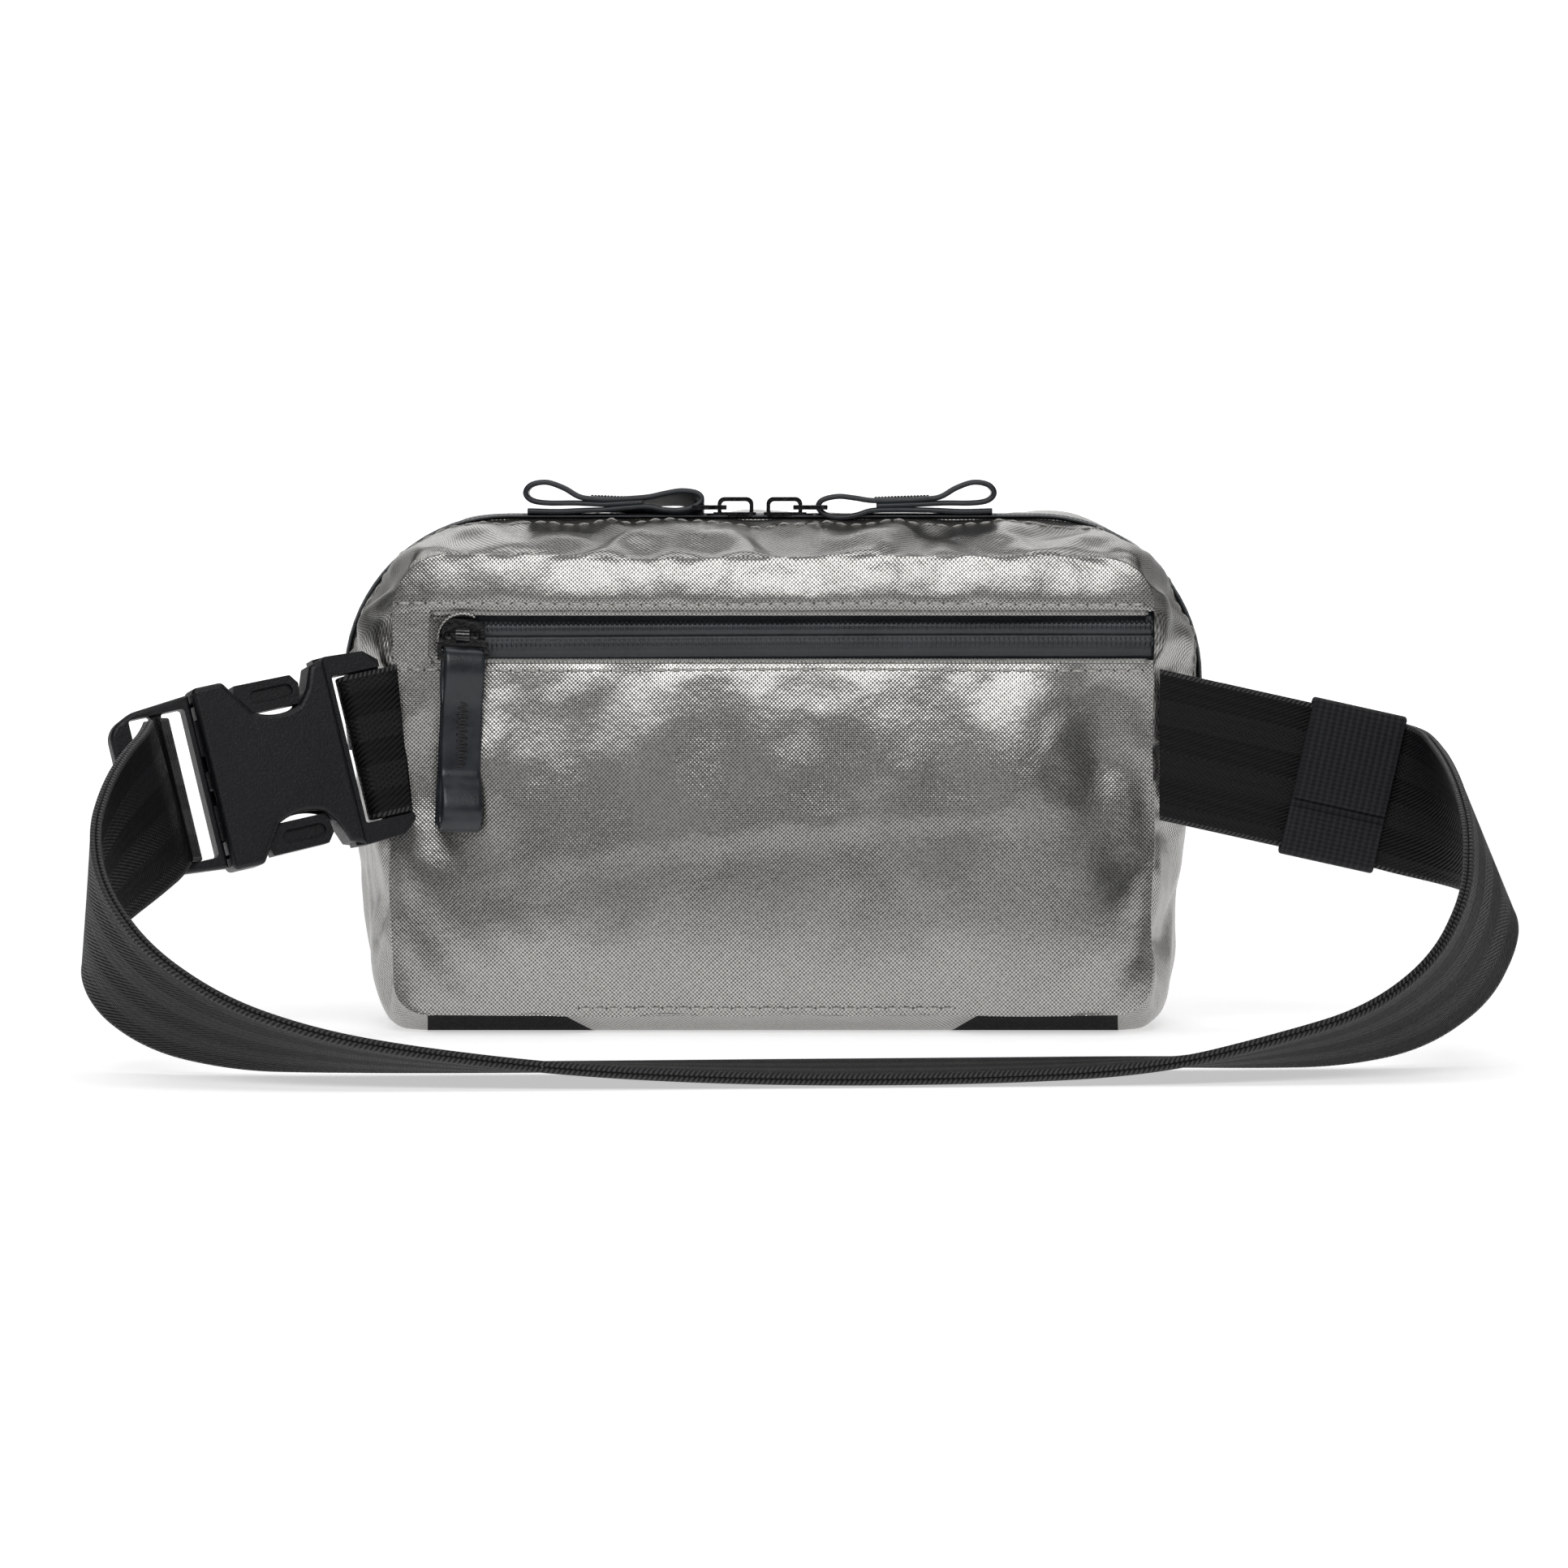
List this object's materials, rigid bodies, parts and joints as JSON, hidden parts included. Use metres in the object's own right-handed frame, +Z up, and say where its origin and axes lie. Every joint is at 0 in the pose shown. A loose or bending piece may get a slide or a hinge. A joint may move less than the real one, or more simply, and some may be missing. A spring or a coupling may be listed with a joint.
{
  "type": "zippered waist pack",
  "caption": "Soft zippered waist pack with a flat rear pocket, webbing waist strap, elastic keeper and side-release buckle.",
  "frame": {"origin": "middle of the flat base of the pack, on the surface it stands on", "axes": "+Z up, +X to the right as seen from the wearer's side, +Y away from the wearer; the waist strap loops towards -Y"},
  "size_m": [0.3557, 0.2106, 0.1408],
  "materials": {
    "coated_grey_nylon": "metallic silver-grey coated nylon, satin",
    "coated_zip_tape": "water-resistant coated zip tape, matte",
    "zip_coil": "nylon coil",
    "pocket_lining_fabric": "plain woven lining",
    "black_base_fabric": "coated black nylon",
    "black_webbing": "seat-belt weave with satin stripes",
    "black_elastic": "ribbed elastic",
    "black_acetal": "moulded, fine pebbled texture",
    "black_slider_metal": "gloss black lacquer",
    "rubberised_strip": "coated strip, satin"
  },
  "bodies": {
    "bag": {"back_panel_upper": "coated_grey_nylon", "back_panel_lower": "coated_grey_nylon", "pocket_zip_tape_upper": "coated_zip_tape", "pocket_zip_tape_lower": "coated_zip_tape", "pocket_zip_coil_upper": "zip_coil", "pocket_zip_coil_lower": "zip_coil", "pocket_zip_garage": "coated_grey_nylon", "pocket_lining": "pocket_lining_fabric", "rear_gusset": "coated_grey_nylon", "front_gusset": "coated_grey_nylon", "front_panel": "coated_grey_nylon", "base_panel": "coated_grey_nylon", "base_patch_left": "black_base_fabric", "base_patch_right": "black_base_fabric", "main_zip_tape_rear": "coated_zip_tape", "main_zip_tape_front": "coated_zip_tape", "main_zip_coil_rear": "zip_coil", "main_zip_coil_front": "zip_coil", "buckle_webbing_loop": "black_webbing", "buckle_female": "black_acetal", "waist_strap": "black_webbing"},
    "buckle_slide_half": {"buckle_male": "black_acetal"},
    "latch_prong_upper": {"buckle_prong_upper": "black_acetal"},
    "latch_prong_lower": {"buckle_prong_lower": "black_acetal"},
    "keeper": {"strap_keeper": "black_elastic"},
    "main_slider_l": {"main_slider_left": "black_slider_metal"},
    "main_tab_l": {"main_tab_left": "black_slider_metal"},
    "main_puller_l": {"main_puller_left": "rubberised_strip"},
    "main_slider_r": {"main_slider_right": "black_slider_metal"},
    "main_tab_r": {"main_tab_right": "black_slider_metal"},
    "main_puller_r": {"main_puller_right": "rubberised_strip"},
    "pocket_slider_body": {"pocket_slider": "black_slider_metal"},
    "pocket_tab_body": {"pocket_tab": "black_slider_metal"},
    "pocket_puller_body": {"pocket_puller": "rubberised_strip"}
  },
  "joints": [
    {"name": "main_slider_left_run", "type": "slide", "parent": "bag", "child": "main_slider_l", "axis": [-1, 0, 0], "range_m": [0, 0.05]},
    {"name": "main_slider_right_run", "type": "slide", "parent": "bag", "child": "main_slider_r", "axis": [1, 0, 0], "range_m": [0, 0.05]},
    {"name": "pocket_slider_run", "type": "slide", "parent": "bag", "child": "pocket_slider_body", "axis": [1, 0, 0], "range_m": [0, 0.16]},
    {"name": "main_tab_left_flip", "type": "hinge", "parent": "main_slider_l", "child": "main_tab_l", "pos_m": [-0.0127, -0.004, 0.1359], "axis": [0, 1, 0], "range_deg": [0, 80]},
    {"name": "main_tab_right_flip", "type": "hinge", "parent": "main_slider_r", "child": "main_tab_r", "pos_m": [0.0059, -0.004, 0.1359], "axis": [0, -1, 0], "range_deg": [0, 80]},
    {"name": "main_puller_left_swing", "type": "hinge", "parent": "main_tab_l", "child": "main_puller_l", "pos_m": [-0.02045, -0.004, 0.1359], "axis": [0, 1, 0], "range_deg": [0, 50]},
    {"name": "main_puller_right_swing", "type": "hinge", "parent": "main_tab_r", "child": "main_puller_r", "pos_m": [0.01365, -0.004, 0.1359], "axis": [0, -1, 0], "range_deg": [0, 50]},
    {"name": "pocket_tab_swing", "type": "hinge", "parent": "pocket_slider_body", "child": "pocket_tab_body", "pos_m": [-0.0795, -0.03735, 0.103], "axis": [-1, 0, 0], "range_deg": [0, 90]},
    {"name": "pocket_puller_swing", "type": "hinge", "parent": "pocket_tab_body", "child": "pocket_puller_body", "pos_m": [-0.0795, -0.03735, 0.0976], "axis": [-1, 0, 0], "range_deg": [0, 50]},
    {"name": "buckle_release", "type": "slide", "parent": "bag", "child": "buckle_slide_half", "axis": [-0.9192, -0.342, -0.1954], "range_m": [0, 0.034], "deforming": ["waist_strap", "buckle_prong_upper", "buckle_prong_lower"]},
    {"name": "prong_upper_squeeze", "type": "hinge", "parent": "buckle_slide_half", "child": "latch_prong_upper", "pos_m": [-0.14636, -0.05265, 0.08368], "axis": [-0.3151, 0.9361, -0.1561], "range_deg": [0, 9], "stiffness_Nm_per_rad": 0.5},
    {"name": "prong_lower_squeeze", "type": "hinge", "parent": "buckle_slide_half", "child": "latch_prong_lower", "pos_m": [-0.13804, -0.05553, 0.04959], "axis": [0.3151, -0.9361, 0.1561], "range_deg": [0, 9], "stiffness_Nm_per_rad": 0.5},
    {"name": "keeper_slide", "type": "slide", "parent": "bag", "child": "keeper", "axis": [-0.9765, 0, 0.2156], "range_m": [0, 0.025]}
  ]
}
